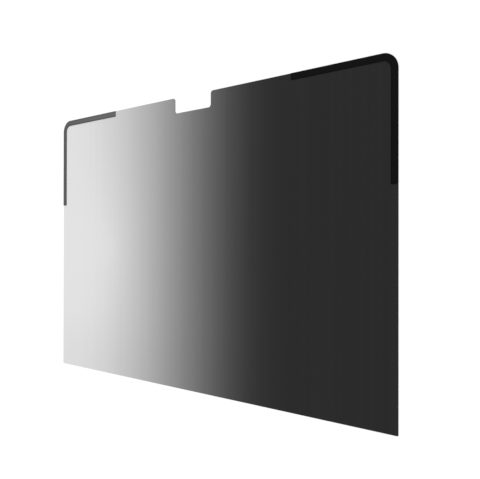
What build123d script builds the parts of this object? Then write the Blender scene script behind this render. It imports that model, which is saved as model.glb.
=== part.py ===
from build123d import *
import os

# Laptop privacy filter: a thin film sheet that lies over a laptop's screen.
# It has rounded upper corners, a camera notch in the top edge, and a flat L-shaped
# strip on each upper corner that holds it to the screen's border.
# The sheet lies on its back. X runs along its width, Y up to the notched edge and
# Z out of its front, with the origin at the middle of the back. Sizes are in millimetres.

# Film sheet
sheet_width = 308.0
sheet_height = 202.0
sheet_thickness = 0.5
top_corner_radius = 9.0
bottom_corner_radius = 0.5

# Camera notch, in the middle of the top edge
notch_width = 34.8
notch_depth = 10.8
notch_mouth_radius = 2.0
notch_floor_radius = 2.0

# Corner strips, flush with the edges of the sheet
strip_width = 4.2
strip_thickness = 0.35
strip_top_leg = 70.0
strip_side_leg = 70.0

# Edges and middle lines that the notch and the strips are set out from
top_edge = sheet_height / 2
right_edge = sheet_width / 2
strip_top_line = top_edge - strip_width / 2
strip_side_line = right_edge - strip_width / 2
strip_bend_radius = top_corner_radius - strip_width / 2


# Film sheet, die-cut with its notch
with BuildPart() as filter_sheet:
    with BuildSketch() as sheet_outline:
        Rectangle(sheet_width, sheet_height)
        with Locations((0, top_edge)):
            Rectangle(notch_width, notch_depth, align=(Align.CENTER, Align.MAX), mode=Mode.SUBTRACT)
        notch_floor_corners = sheet_outline.vertices().group_by(Axis.Y)[1]
        fillet(notch_floor_corners, notch_floor_radius)
        notch_mouth_corners = sheet_outline.vertices().group_by(Axis.Y)[-1].sort_by(Axis.X)[1:3]
        fillet(notch_mouth_corners, notch_mouth_radius)
        top_corners = sheet_outline.vertices().group_by(Axis.Y)[-1].sort_by(Axis.X)[0::3]
        fillet(top_corners, top_corner_radius)
        bottom_corners = sheet_outline.vertices().group_by(Axis.Y)[0]
        fillet(bottom_corners, bottom_corner_radius)
    extrude(amount=sheet_thickness)

# Right strip: a flat band that turns round the sheet's corner, on the front face
with BuildPart() as right_corner_strip:
    with BuildSketch(Plane.XY.offset(sheet_thickness)):
        with BuildLine():
            FilletPolyline(
                (right_edge - strip_top_leg, strip_top_line),
                (strip_side_line, strip_top_line),
                (strip_side_line, top_edge - strip_side_leg),
                radius=strip_bend_radius,
            )
        trace(line_width=strip_width)
    extrude(amount=strip_thickness)

# Left strip: the same band, mirrored
with BuildPart() as left_corner_strip:
    mirror(right_corner_strip.part, about=Plane.YZ)


filter_sheet.part.label = "filter_sheet"
right_corner_strip.part.label = "right_corner_strip"
left_corner_strip.part.label = "left_corner_strip"

os.makedirs("parts", exist_ok=True)
export_step(filter_sheet.part, "parts/filter_sheet.step")
export_step(right_corner_strip.part, "parts/right_corner_strip.step")
export_step(left_corner_strip.part, "parts/left_corner_strip.step")
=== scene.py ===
import math

import bpy
from mathutils import Matrix, Vector


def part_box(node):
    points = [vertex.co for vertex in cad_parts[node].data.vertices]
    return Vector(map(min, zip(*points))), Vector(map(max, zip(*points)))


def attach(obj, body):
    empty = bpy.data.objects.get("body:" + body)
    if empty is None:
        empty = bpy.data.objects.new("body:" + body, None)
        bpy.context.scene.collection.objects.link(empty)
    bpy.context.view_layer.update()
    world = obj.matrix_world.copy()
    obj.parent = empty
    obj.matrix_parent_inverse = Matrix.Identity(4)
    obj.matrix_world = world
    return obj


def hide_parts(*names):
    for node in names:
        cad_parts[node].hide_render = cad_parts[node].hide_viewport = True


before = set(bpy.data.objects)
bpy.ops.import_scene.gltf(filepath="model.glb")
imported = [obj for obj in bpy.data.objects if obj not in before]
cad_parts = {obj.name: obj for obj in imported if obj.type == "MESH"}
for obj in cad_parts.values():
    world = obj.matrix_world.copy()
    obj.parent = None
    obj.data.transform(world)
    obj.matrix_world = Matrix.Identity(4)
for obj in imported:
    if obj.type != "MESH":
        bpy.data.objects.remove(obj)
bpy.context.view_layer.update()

mm = 0.001
screenGamma = 2.2  # tones are written as they look on a screen
noiseMiddle = 0.5  # the noise texture runs from 0 to 1
allThrough = 1.0  # size along Z of a pattern that is the same all through the film
joinReach = 0.001 * mm  # points closer than this are merged
softAngle = math.radians(50)  # edges sharper than this are rounded
print("frame loaded:", ", ".join(sorted(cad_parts)))


# helpers for node trees

def addNode(tree, kind, label, **settings):
    node = tree.nodes.new(kind)
    node.label = label
    for name, value in settings.items():
        setattr(node, name, value)
    return node


def feed(tree, socket, value):
    if isinstance(value, bpy.types.NodeSocket):
        tree.links.new(value, socket)
    else:
        socket.default_value = value


def mathStep(tree, label, operation, *values):
    node = addNode(tree, "ShaderNodeMath", label, operation=operation)
    for socket, value in zip(node.inputs, values):
        feed(tree, socket, value)
    return node.outputs[0]


def mapStep(tree, label, value, fromRange, toRange, smooth=False):
    node = addNode(tree, "ShaderNodeMapRange", label)
    node.interpolation_type = "SMOOTHSTEP" if smooth else "LINEAR"
    names = ("Value", "From Min", "From Max", "To Min", "To Max")
    for name, given in zip(names, (value, *fromRange, *toRange)):
        feed(tree, node.inputs[name], given)
    return node.outputs["Result"]


# tone along the width, a smooth curve through spots: a distance from the middle in mm and a tone
def fadeStep(tree, x, low, high, spots):
    width = high.x - low.x
    node = addNode(tree, "ShaderNodeFloatCurve", "fade")
    points = node.mapping.curves[0].points
    while len(points) < len(spots):
        points.new(0, 0)
    for point, (place, tone) in zip(points, spots):
        point.location = ((place * mm - low.x) / width, tone)
        point.handle_type = "AUTO_CLAMPED"
    node.mapping.update()
    feed(tree, node.inputs["Value"], mapStep(tree, "share of width", x, (low.x, high.x), (0, 1)))
    return node.outputs["Value"]


# noise about zero, with blobs of the given sizes along X, Y and Z
def noiseStep(tree, label, places, blob, detail):
    spread = addNode(tree, "ShaderNodeMapping", label + " size", vector_type="TEXTURE")
    feed(tree, spread.inputs["Vector"], places)
    feed(tree, spread.inputs["Scale"], blob)
    noise = addNode(tree, "ShaderNodeTexNoise", label)
    feed(tree, noise.inputs["Vector"], spread.outputs["Vector"])
    feed(tree, noise.inputs["Scale"], 1.0)
    feed(tree, noise.inputs["Detail"], detail)
    return mathStep(tree, label + " about zero", "SUBTRACT", noise.outputs["Fac"], noiseMiddle)


def bumpStep(tree, label, height, depth):
    bump = addNode(tree, "ShaderNodeBump", label)
    feed(tree, bump.inputs["Strength"], 1.0)
    feed(tree, bump.inputs["Distance"], depth)
    feed(tree, bump.inputs["Height"], height)
    return bump.outputs["Normal"]


# a screen tone as the grey that the shader wants
def greyStep(tree, tone):
    light = mathStep(tree, "tone as light", "POWER", tone, screenGamma)
    grey = addNode(tree, "ShaderNodeCombineColor", "neutral grey")
    for channel in grey.inputs:
        feed(tree, channel, light)
    return grey.outputs["Color"]


def newFinish(name):
    finish = bpy.data.materials.new(name)
    finish.use_nodes = True
    tree = finish.node_tree
    places = addNode(tree, "ShaderNodeTexCoord", "on the piece").outputs["Object"]
    axes = addNode(tree, "ShaderNodeSeparateXYZ", "axes")
    feed(tree, axes.inputs[0], places)
    return finish, tree, tree.nodes["Principled BSDF"], places, axes.outputs


def newShapeTree(name, sizeNames):
    tree = bpy.data.node_groups.new(name, "GeometryNodeTree")
    kinds = [("Outline", "Geometry")] + [(size, "Float") for size in sizeNames] + [("Finish", "Material")]
    for title, kind in kinds:
        tree.interface.new_socket(title, in_out="INPUT", socket_type="NodeSocket" + kind)
    tree.interface.new_socket("Shape", in_out="OUTPUT", socket_type="NodeSocketGeometry")
    return tree, addNode(tree, "NodeGroupInput", "sizes").outputs


# the outline as a curve, with each corner rounded by its own radius
def roundedPath(tree, sizes, steps):
    path = addNode(tree, "GeometryNodeMeshToCurve", "path")
    radius = addNode(tree, "GeometryNodeInputNamedAttribute", "corner radius", data_type="FLOAT")
    rounded = addNode(tree, "GeometryNodeFilletCurve", "round corners", mode="POLY")
    feed(tree, path.inputs["Mesh"], sizes["Outline"])
    feed(tree, radius.inputs["Name"], "cornerRadius")
    feed(tree, rounded.inputs["Curve"], path.outputs["Curve"])
    feed(tree, rounded.inputs["Radius"], radius.outputs["Attribute"])
    feed(tree, rounded.inputs["Count"], steps)
    return rounded.outputs["Curve"]


def endShapeTree(tree, sizes, result):
    realize = addNode(tree, "GeometryNodeRealizeInstances", "realize")
    finish = addNode(tree, "GeometryNodeSetMaterial", "finish")
    shape = addNode(tree, "NodeGroupOutput", "shape")
    feed(tree, realize.inputs["Geometry"], result)
    feed(tree, finish.inputs["Geometry"], realize.outputs["Geometry"])
    feed(tree, finish.inputs["Material"], sizes["Finish"])
    feed(tree, shape.inputs["Shape"], finish.outputs["Geometry"])


# helpers for pieces

def placeObject(name, data):
    placed = bpy.data.objects.new(name, data)
    bpy.context.scene.collection.objects.link(placed)
    return placed


# a line through corners, each an x, a y and a radius, at one height
def makeOutline(name, corners, height, closed):
    points = [(x, y, height) for x, y, radius in corners]
    edges = [(i, i + 1) for i in range(len(points) - 1)]
    if closed:
        edges.append((len(points) - 1, 0))
    line = bpy.data.meshes.new(name)
    line.from_pydata(points, edges, [])
    radii = line.attributes.new("cornerRadius", "FLOAT", "POINT")
    radii.data.foreach_set("value", [radius for x, y, radius in corners])
    return placeObject(name, line)


# runs a tree over an outline and leaves a plain mesh with softened edges in its place
def shapePiece(name, outline, tree, values, look):
    nodes = outline.modifiers.new("shape", "NODES")
    nodes.node_group = tree
    for item in tree.interface.items_tree:
        if item.in_out == "INPUT" and item.name in values:
            nodes[item.identifier] = values[item.name]
    soft = outline.modifiers.new("softEdges", "BEVEL")
    soft.width = look["edgeRound"]
    soft.segments = look["edgeSteps"]
    soft.limit_method = "ANGLE"
    soft.angle_limit = softAngle
    soft.harden_normals = True
    shaped = outline.evaluated_get(bpy.context.evaluated_depsgraph_get())
    mesh = bpy.data.meshes.new_from_object(shaped)
    mesh.name = name
    mesh.materials.clear()
    mesh.materials.append(values["Finish"])  # the only slot, on every face
    line = outline.data
    bpy.data.objects.remove(outline)
    bpy.data.meshes.remove(line)
    print(name, "shaped with", len(mesh.polygons), "faces")
    return placeObject(name, mesh)


def standFor(piece, node):
    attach(piece, "root")
    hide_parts(node)


# film sheet: die-cut outline with a notch, filled and thickened

film = {
    "topRadius": 9.0 * mm,
    "bottomRadius": 0.5 * mm,
    "notchWidth": 34.8 * mm,
    "notchDepth": 10.8 * mm,
    "notchRadius": 2.0 * mm,
    "cornerSteps": 20,
    "edgeRound": 0.06 * mm,
    "edgeSteps": 2,
    # pale at the left, near black at the right: distance from the middle in mm, tone
    "fade": [(-154, 0.86), (-120, 0.84), (-85, 0.78), (-50, 0.68), (-15, 0.53),
             (20, 0.35), (46, 0.22), (62, 0.165), (84, 0.14), (154, 0.14)],
    # painted highlight: a soft paler patch at mid height, where a soft lamp's reflection lies
    "highlightPlace": (-90 * mm, -4 * mm, 0),  # soft paler patch at mid height
    "highlightReach": (105 * mm, 140 * mm, allThrough),
    "highlightGain": 0.05,
    # painted shade: the light falling off towards the lower edge
    "lowerShade": 0.98,  # a touch darker towards the lower edge
    "lowerStart": -45 * mm,
    "streakSize": (5 * mm, 400 * mm, allThrough),  # louvres inside show as faint upright streaks
    "streakDetail": 2,
    "streakGain": 0.022,
    "grainSize": (2 * mm, 2 * mm, allThrough),
    "grainDetail": 1,
    "grainDepth": 0.02 * mm,
    "gloss": 0.12,
    "frontRough": 0.34,
    "backRough": 0.52,
    "roughSway": 0.16,
    "coreShade": 0.62,  # cut edge: dark louvre core between two clearer skins
    "skinShade": 0.88,
    "skinThickness": 0.08 * mm,
    "skinBlend": 0.02 * mm,
    "edgeFacing": (0.2, 0.9),  # how far up a surface faces, from cut edge to face
}


def makeFilmTree():
    tree, sizes = newShapeTree("filmSheetShape", ["Thickness"])
    filled = addNode(tree, "GeometryNodeFillCurve", "fill", mode="NGONS")
    up = addNode(tree, "ShaderNodeCombineXYZ", "up")
    front = addNode(tree, "GeometryNodeExtrudeMesh", "thicken", mode="FACES")
    back = addNode(tree, "GeometryNodeFlipFaces", "back")
    both = addNode(tree, "GeometryNodeJoinGeometry", "front and back")
    closed = addNode(tree, "GeometryNodeMergeByDistance", "close")
    feed(tree, filled.inputs["Curve"], roundedPath(tree, sizes, film["cornerSteps"]))
    feed(tree, up.inputs["Z"], sizes["Thickness"])
    feed(tree, front.inputs["Mesh"], filled.outputs["Mesh"])
    feed(tree, front.inputs["Offset"], up.outputs["Vector"])
    feed(tree, front.inputs["Offset Scale"], 1.0)
    feed(tree, front.inputs["Individual"], False)
    feed(tree, back.inputs["Mesh"], filled.outputs["Mesh"])
    feed(tree, both.inputs["Geometry"], front.outputs["Mesh"])
    feed(tree, both.inputs["Geometry"], back.outputs["Mesh"])
    feed(tree, closed.inputs["Geometry"], both.outputs["Geometry"])
    feed(tree, closed.inputs["Distance"], joinReach)
    endShapeTree(tree, sizes, closed.outputs["Geometry"])
    return tree


def filmTone(tree, places, axes, streak, low, high):
    tone = fadeStep(tree, axes["X"], low, high, film["fade"])
    # painted highlight: a soft paler patch added to the film's tone
    highlight = addNode(tree, "ShaderNodeMapping", "patch place", vector_type="TEXTURE")
    feed(tree, highlight.inputs["Vector"], places)
    feed(tree, highlight.inputs["Location"], film["highlightPlace"])
    feed(tree, highlight.inputs["Scale"], film["highlightReach"])
    ball = addNode(tree, "ShaderNodeTexGradient", "highlight", gradient_type="QUADRATIC_SPHERE")
    feed(tree, ball.inputs["Vector"], highlight.outputs["Vector"])
    tone = mathStep(tree, "add patch", "MULTIPLY_ADD", ball.outputs["Fac"], film["highlightGain"], tone)
    # painted shade: a touch darker towards the lower edge, where the light falls off
    lower = mapStep(tree, "lower edge", axes["Y"], (low.y, film["lowerStart"]),
                    (film["lowerShade"], 1.0), smooth=True)
    tone = mathStep(tree, "shade lower edge", "MULTIPLY", tone, lower)
    return mathStep(tree, "add streaks", "MULTIPLY_ADD", streak, film["streakGain"], tone)


# the cut edge shows the layers, the faces are plain
def cutEdgeShade(tree, axes, low, high):
    facing = addNode(tree, "ShaderNodeSeparateXYZ", "facing")
    feed(tree, facing.inputs[0], addNode(tree, "ShaderNodeNewGeometry", "surface").outputs["Normal"])
    upright = mathStep(tree, "faces up or down", "ABSOLUTE", facing.outputs["Z"])
    height = mathStep(tree, "height", "SUBTRACT", axes["Z"], (low.z + high.z) / 2)
    fromMiddle = mathStep(tree, "from mid layer", "ABSOLUTE", height)
    skinStart = (high.z - low.z) / 2 - film["skinThickness"]
    layers = mapStep(tree, "layers", fromMiddle, (skinStart, skinStart + film["skinBlend"]),
                     (film["coreShade"], film["skinShade"]))
    return mapStep(tree, "cut edge or face", upright, film["edgeFacing"], (layers, 1.0))


def makeFilmFinish(low, high):
    finish, tree, shader, places, axes = newFinish("privacyFilm")
    streak = noiseStep(tree, "streaks", places, film["streakSize"], film["streakDetail"])
    tone = mathStep(tree, "shade cut edge", "MULTIPLY", filmTone(tree, places, axes, streak, low, high),
                    cutEdgeShade(tree, axes, low, high))
    feed(tree, shader.inputs["Base Color"], greyStep(tree, tone))
    # smooth front, more matt back, both a little uneven
    rough = mapStep(tree, "front or back", axes["Z"], (low.z, high.z),
                    (film["backRough"], film["frontRough"]))
    rough = mathStep(tree, "uneven", "MULTIPLY_ADD", streak, film["roughSway"], rough)
    feed(tree, shader.inputs["Roughness"], rough)
    grain = noiseStep(tree, "satin grain", places, film["grainSize"], film["grainDetail"])
    feed(tree, shader.inputs["Normal"], bumpStep(tree, "grain relief", grain, film["grainDepth"]))
    feed(tree, shader.inputs["Specular IOR Level"], film["gloss"])
    return finish


def makeFilm():
    low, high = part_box("filter_sheet")
    halfNotch = film["notchWidth"] / 2
    notchFloor = high.y - film["notchDepth"]
    corners = [
        (low.x, low.y, film["bottomRadius"]),
        (high.x, low.y, film["bottomRadius"]),
        (high.x, high.y, film["topRadius"]),
        (halfNotch, high.y, film["notchRadius"]),
        (halfNotch, notchFloor, film["notchRadius"]),
        (-halfNotch, notchFloor, film["notchRadius"]),
        (-halfNotch, high.y, film["notchRadius"]),
        (low.x, high.y, film["topRadius"]),
    ]
    outline = makeOutline("filmOutline", corners, low.z, closed=True)
    values = {"Thickness": high.z - low.z, "Finish": makeFilmFinish(low, high)}
    piece = shapePiece("filmSheet", outline, makeFilmTree(), values, film)
    standFor(piece, "filter_sheet")


# corner strips: a flat band that follows the edge round each upper corner

strip = {
    "width": 4.2 * mm,
    "bendSteps": 24,
    "edgeRound": 0.1 * mm,
    "edgeSteps": 3,
    # painted reflection: both strips are black, the left one is painted grey for the light it reflects;
    # distance from the middle in mm, tone
    "fade": [(-154, 0.35), (-138, 0.37), (-84, 0.39), (84, 0.07), (154, 0.07)],
    "edgeShade": 0.84,  # a little darker towards the long edges
    "edgeSpan": (0.15, 0.5),  # share of the width, from the middle out
    "grainSize": (0.8 * mm, 0.8 * mm, 0.8 * mm),
    "grainDetail": 1,
    "grainGain": 0.2,
    "grainDepth": 0.015 * mm,
    "gloss": 0.05,
    "rough": 0.62,
    "roughSway": 0.16,
}


def makeStripTree():
    tree, sizes = newShapeTree("cornerStripShape", ["Width", "Thickness"])
    flat = addNode(tree, "GeometryNodeSetCurveNormal", "keep flat", mode="Z_UP")
    section = addNode(tree, "GeometryNodeCurvePrimitiveQuadrilateral", "section", mode="RECTANGLE")
    spot = addNode(tree, "ShaderNodeSeparateXYZ", "place in section")
    place = addNode(tree, "GeometryNodeInputPosition", "section points")
    marked = addNode(tree, "GeometryNodeStoreNamedAttribute", "across", data_type="FLOAT", domain="POINT")
    band = addNode(tree, "GeometryNodeCurveToMesh", "band")
    feed(tree, flat.inputs["Curve"], roundedPath(tree, sizes, strip["bendSteps"]))
    feed(tree, section.inputs["Width"], sizes["Width"])
    feed(tree, section.inputs["Height"], sizes["Thickness"])
    feed(tree, spot.inputs[0], place.outputs["Position"])
    feed(tree, marked.inputs["Geometry"], section.outputs["Curve"])
    feed(tree, marked.inputs["Name"], "across")
    feed(tree, marked.inputs["Value"],
         mathStep(tree, "share of width", "DIVIDE", spot.outputs["X"], sizes["Width"]))
    feed(tree, band.inputs["Curve"], flat.outputs["Curve"])
    feed(tree, band.inputs["Profile Curve"], marked.outputs["Geometry"])
    feed(tree, band.inputs["Fill Caps"], True)
    endShapeTree(tree, sizes, band.outputs["Mesh"])
    return tree


def makeStripFinish(low, high):
    finish, tree, shader, places, axes = newFinish("stripBlack")
    # painted reflection: grey on the left strip, black on the right one
    tone = fadeStep(tree, axes["X"], low, high, strip["fade"])
    across = addNode(tree, "ShaderNodeAttribute", "across the band", attribute_name="across")
    fromMiddle = mathStep(tree, "from the middle", "ABSOLUTE", across.outputs["Fac"])
    shade = mapStep(tree, "darker edges", fromMiddle, strip["edgeSpan"],
                    (1.0, strip["edgeShade"]), smooth=True)
    grain = noiseStep(tree, "grain", places, strip["grainSize"], strip["grainDetail"])
    speckle = mathStep(tree, "speckle", "MULTIPLY_ADD", grain, strip["grainGain"], shade)
    tone = mathStep(tree, "with speckle", "MULTIPLY", tone, speckle)
    feed(tree, shader.inputs["Base Color"], greyStep(tree, tone))
    rough = mathStep(tree, "uneven", "MULTIPLY_ADD", grain, strip["roughSway"], strip["rough"])
    feed(tree, shader.inputs["Roughness"], rough)
    feed(tree, shader.inputs["Normal"], bumpStep(tree, "grain relief", grain, strip["grainDepth"]))
    feed(tree, shader.inputs["Specular IOR Level"], strip["gloss"])
    return finish


def makeStrips():
    tree = makeStripTree()
    finish = makeStripFinish(*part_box("filter_sheet"))
    halfWidth = strip["width"] / 2
    bendRadius = film["topRadius"] - halfWidth  # of the band's middle line
    for side, node, name in ((-1, "left_corner_strip", "leftCornerStrip"),
                             (1, "right_corner_strip", "rightCornerStrip")):
        low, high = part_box(node)
        innerEnd, outerEdge = (high.x, low.x) if side < 0 else (low.x, high.x)
        topLine = high.y - halfWidth
        sideLine = outerEdge - side * halfWidth
        corners = [(innerEnd, topLine, 0), (sideLine, topLine, bendRadius), (sideLine, low.y, 0)]
        outline = makeOutline(name + "Line", corners, (low.z + high.z) / 2, closed=False)
        values = {"Width": strip["width"], "Thickness": high.z - low.z, "Finish": finish}
        piece = shapePiece(name, outline, tree, values, strip)
        standFor(piece, node)


# studio: white floor, soft light and the camera

studio = {
    "floorSize": 12.0,
    "floorDrop": 0.02 * mm,
    "floorColour": 0.97,
    "whiteShare": 0.5,  # of the floor's look that is plain white, the rest keeps the shadow
    "cameraWhite": 1.1,  # a touch past white, so that the backdrop looks even
    "skyLight": 0.7,
    # name, which way the lamp lies, strength
    "lamps": [("keyLamp", (0.5, -0.45, 1.0), 0.95), ("fillLamp", (0.2, 1.0, 0.9), 0.42)],
    "lampSpread": math.radians(50),  # wide, for soft light
}


# which rays see the backdrop, and how white it is to them
def seenRays(tree):
    rays = addNode(tree, "ShaderNodeLightPath", "kind of ray").outputs
    mirrored = mathStep(tree, "seen or mirrored", "MAXIMUM", rays["Is Camera Ray"], rays["Is Glossy Ray"])
    seen = mathStep(tree, "or seen through", "MAXIMUM", mirrored, rays["Is Transmission Ray"])
    strength = mapStep(tree, "white", rays["Is Camera Ray"], (0, 1), (1.0, studio["cameraWhite"]))
    return seen, strength


def mixToOutput(tree, outputKind, share, plain, white):
    mixed = addNode(tree, "ShaderNodeMixShader", "white where seen")
    output = addNode(tree, outputKind, "result")
    for socket, value in zip(mixed.inputs, (share, plain.outputs[0], white.outputs[0])):
        feed(tree, socket, value)
    feed(tree, output.inputs["Surface"], mixed.outputs[0])


def makeFloor():
    half = studio["floorSize"] / 2
    corners = [(x * half, y * half, -studio["floorDrop"]) for x, y in ((-1, -1), (1, -1), (1, 1), (-1, 1))]
    mesh = bpy.data.meshes.new("studioFloor")
    mesh.from_pydata(corners, [], [range(len(corners))])
    finish = bpy.data.materials.new("floorWhite")
    finish.use_nodes = True
    tree = finish.node_tree
    tree.nodes.clear()
    card = addNode(tree, "ShaderNodeBsdfDiffuse", "card")
    feed(tree, card.inputs["Color"], (studio["floorColour"],) * 3 + (1,))
    white = addNode(tree, "ShaderNodeEmission", "white")
    seen, strength = seenRays(tree)
    feed(tree, white.inputs["Strength"], strength)
    share = mathStep(tree, "white share", "MULTIPLY", seen, studio["whiteShare"])
    mixToOutput(tree, "ShaderNodeOutputMaterial", share, card, white)
    mesh.materials.append(finish)
    placeObject("studioFloor", mesh)


def makeSky():
    world = bpy.data.worlds.new("studioSky")
    bpy.context.scene.world = world
    world.use_nodes = True
    tree = world.node_tree
    tree.nodes.clear()
    light = addNode(tree, "ShaderNodeBackground", "soft light")
    white = addNode(tree, "ShaderNodeBackground", "white backdrop")
    for sky in (light, white):
        feed(tree, sky.inputs["Color"], (1, 1, 1, 1))
    seen, strength = seenRays(tree)
    feed(tree, light.inputs["Strength"], studio["skyLight"])
    feed(tree, white.inputs["Strength"], strength)
    mixToOutput(tree, "ShaderNodeOutputWorld", seen, light, white)


def makeLamps():
    for name, towards, strength in studio["lamps"]:
        lamp = bpy.data.lights.new(name, "SUN")
        lamp.energy = strength
        lamp.angle = studio["lampSpread"]
        holder = placeObject(name, lamp)
        holder.location = towards
        holder.rotation_mode = "QUATERNION"
        holder.rotation_quaternion = Vector(towards).to_track_quat("Z", "Y")


camera = {
    "place": (315.1 * mm, 0.1 * mm, 307.4 * mm),
    "aim": (43.6 * mm, 2.1 * mm, 0.5 * mm),
    "top": (0.001, 1.0, 0.0036),  # which way is up in the picture
    "lens": 48.3,
    "sensor": 36,
    "nearest": 10 * mm,
}


def makeCamera():
    lens = bpy.data.cameras.new("photoCamera")
    lens.lens = camera["lens"]
    lens.sensor_width = camera["sensor"]
    lens.clip_start = camera["nearest"]
    holder = placeObject("photoCamera", lens)
    back = (Vector(camera["place"]) - Vector(camera["aim"])).normalized()
    right = Vector(camera["top"]).cross(back).normalized()
    turn = Matrix((right, back.cross(right), back)).transposed()
    holder.matrix_world = Matrix.Translation(camera["place"]) @ turn.to_4x4()
    bpy.context.scene.camera = holder


makeFilm()
makeStrips()
print("filter dressed")

makeFloor()
makeSky()
makeLamps()
makeCamera()
bpy.context.scene.view_settings.view_transform = "Standard"
print("studio ready")
